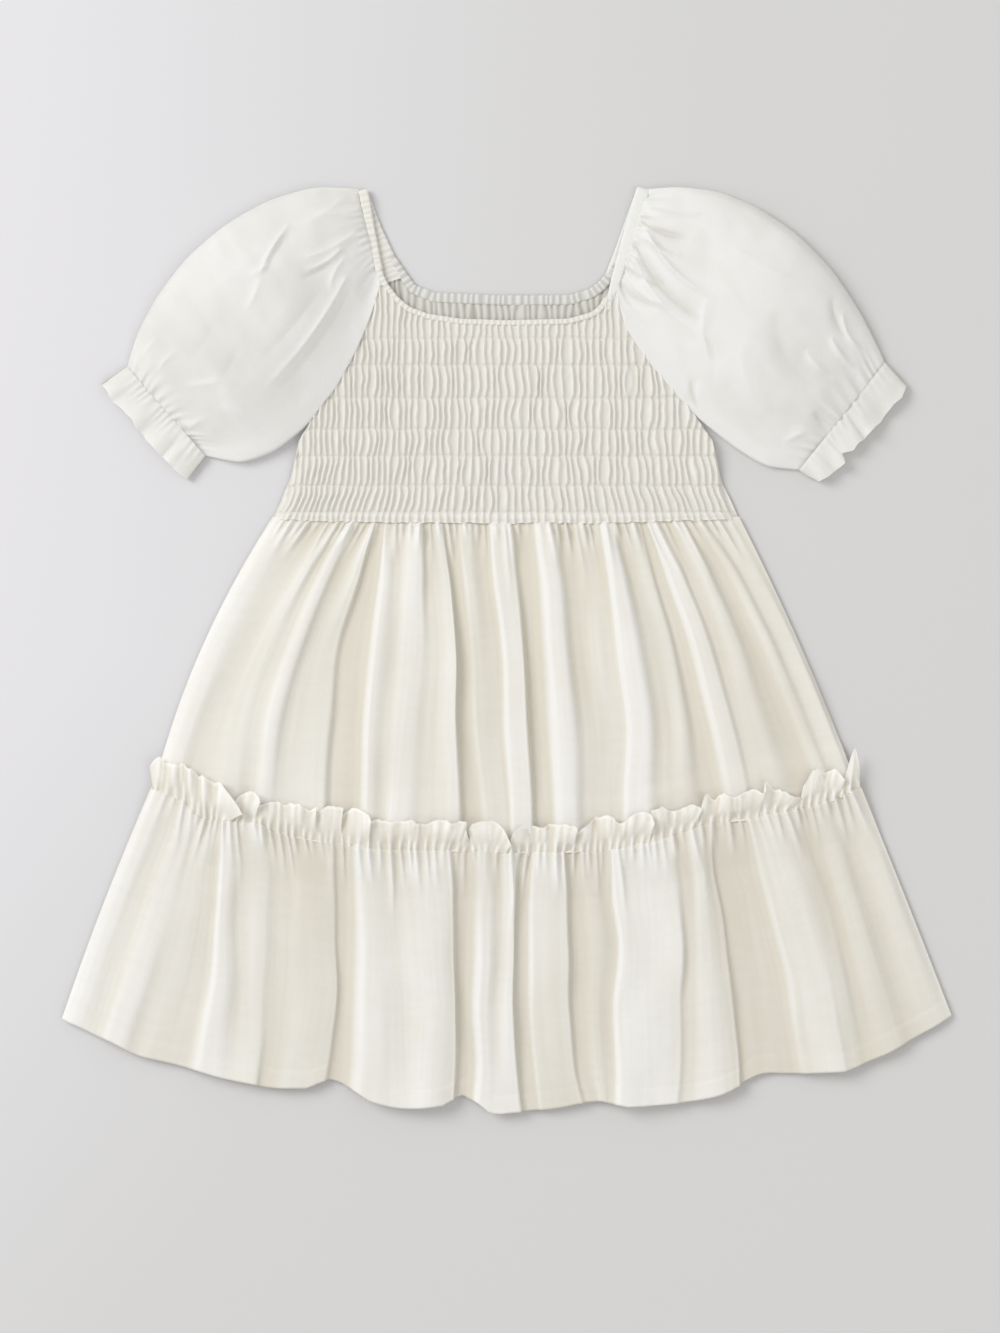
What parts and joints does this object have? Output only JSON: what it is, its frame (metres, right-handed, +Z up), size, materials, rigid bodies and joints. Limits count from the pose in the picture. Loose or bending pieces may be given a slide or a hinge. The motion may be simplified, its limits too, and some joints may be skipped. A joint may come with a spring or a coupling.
{
  "type": "child's tiered dress laid flat",
  "caption": "Child's dress laid flat: smocked bodice with square neck, short puff sleeves with frilled cuffs, gathered skirt and a lower tier with a standing frill.",
  "frame": {"origin": "centre of the laid dress in plan, at the table", "axes": "+X to the right as seen from above, +Y from the hem towards the neck, +Z up from the table"},
  "size_m": [0.5692, 0.5932, 0.0264],
  "materials": {
    "cream_cotton_body": "plain matt cream cotton, lightly creased",
    "cream_cotton_sleeve": "plain matt cream cotton, a little cooler and sheerer on the sleeves",
    "cream_cotton_trim": "plain matt cream cotton, gathered frills and casings"
  },
  "bodies": {
    "root": {"bodice_front": "cream_cotton_body", "bodice_back": "cream_cotton_body", "neck_casing_front": "cream_cotton_trim", "neck_casing_back": "cream_cotton_trim", "neck_casing_left": "cream_cotton_trim", "neck_casing_right": "cream_cotton_trim", "sleeve_left": "cream_cotton_sleeve", "sleeve_right": "cream_cotton_sleeve", "cuff_frill_left": "cream_cotton_trim", "cuff_frill_right": "cream_cotton_trim", "skirt_front": "cream_cotton_body", "skirt_back": "cream_cotton_body", "tier_heading_front": "cream_cotton_trim", "tier_heading_back": "cream_cotton_trim", "tier_front": "cream_cotton_body", "tier_back": "cream_cotton_body"}
  },
  "joints": []
}
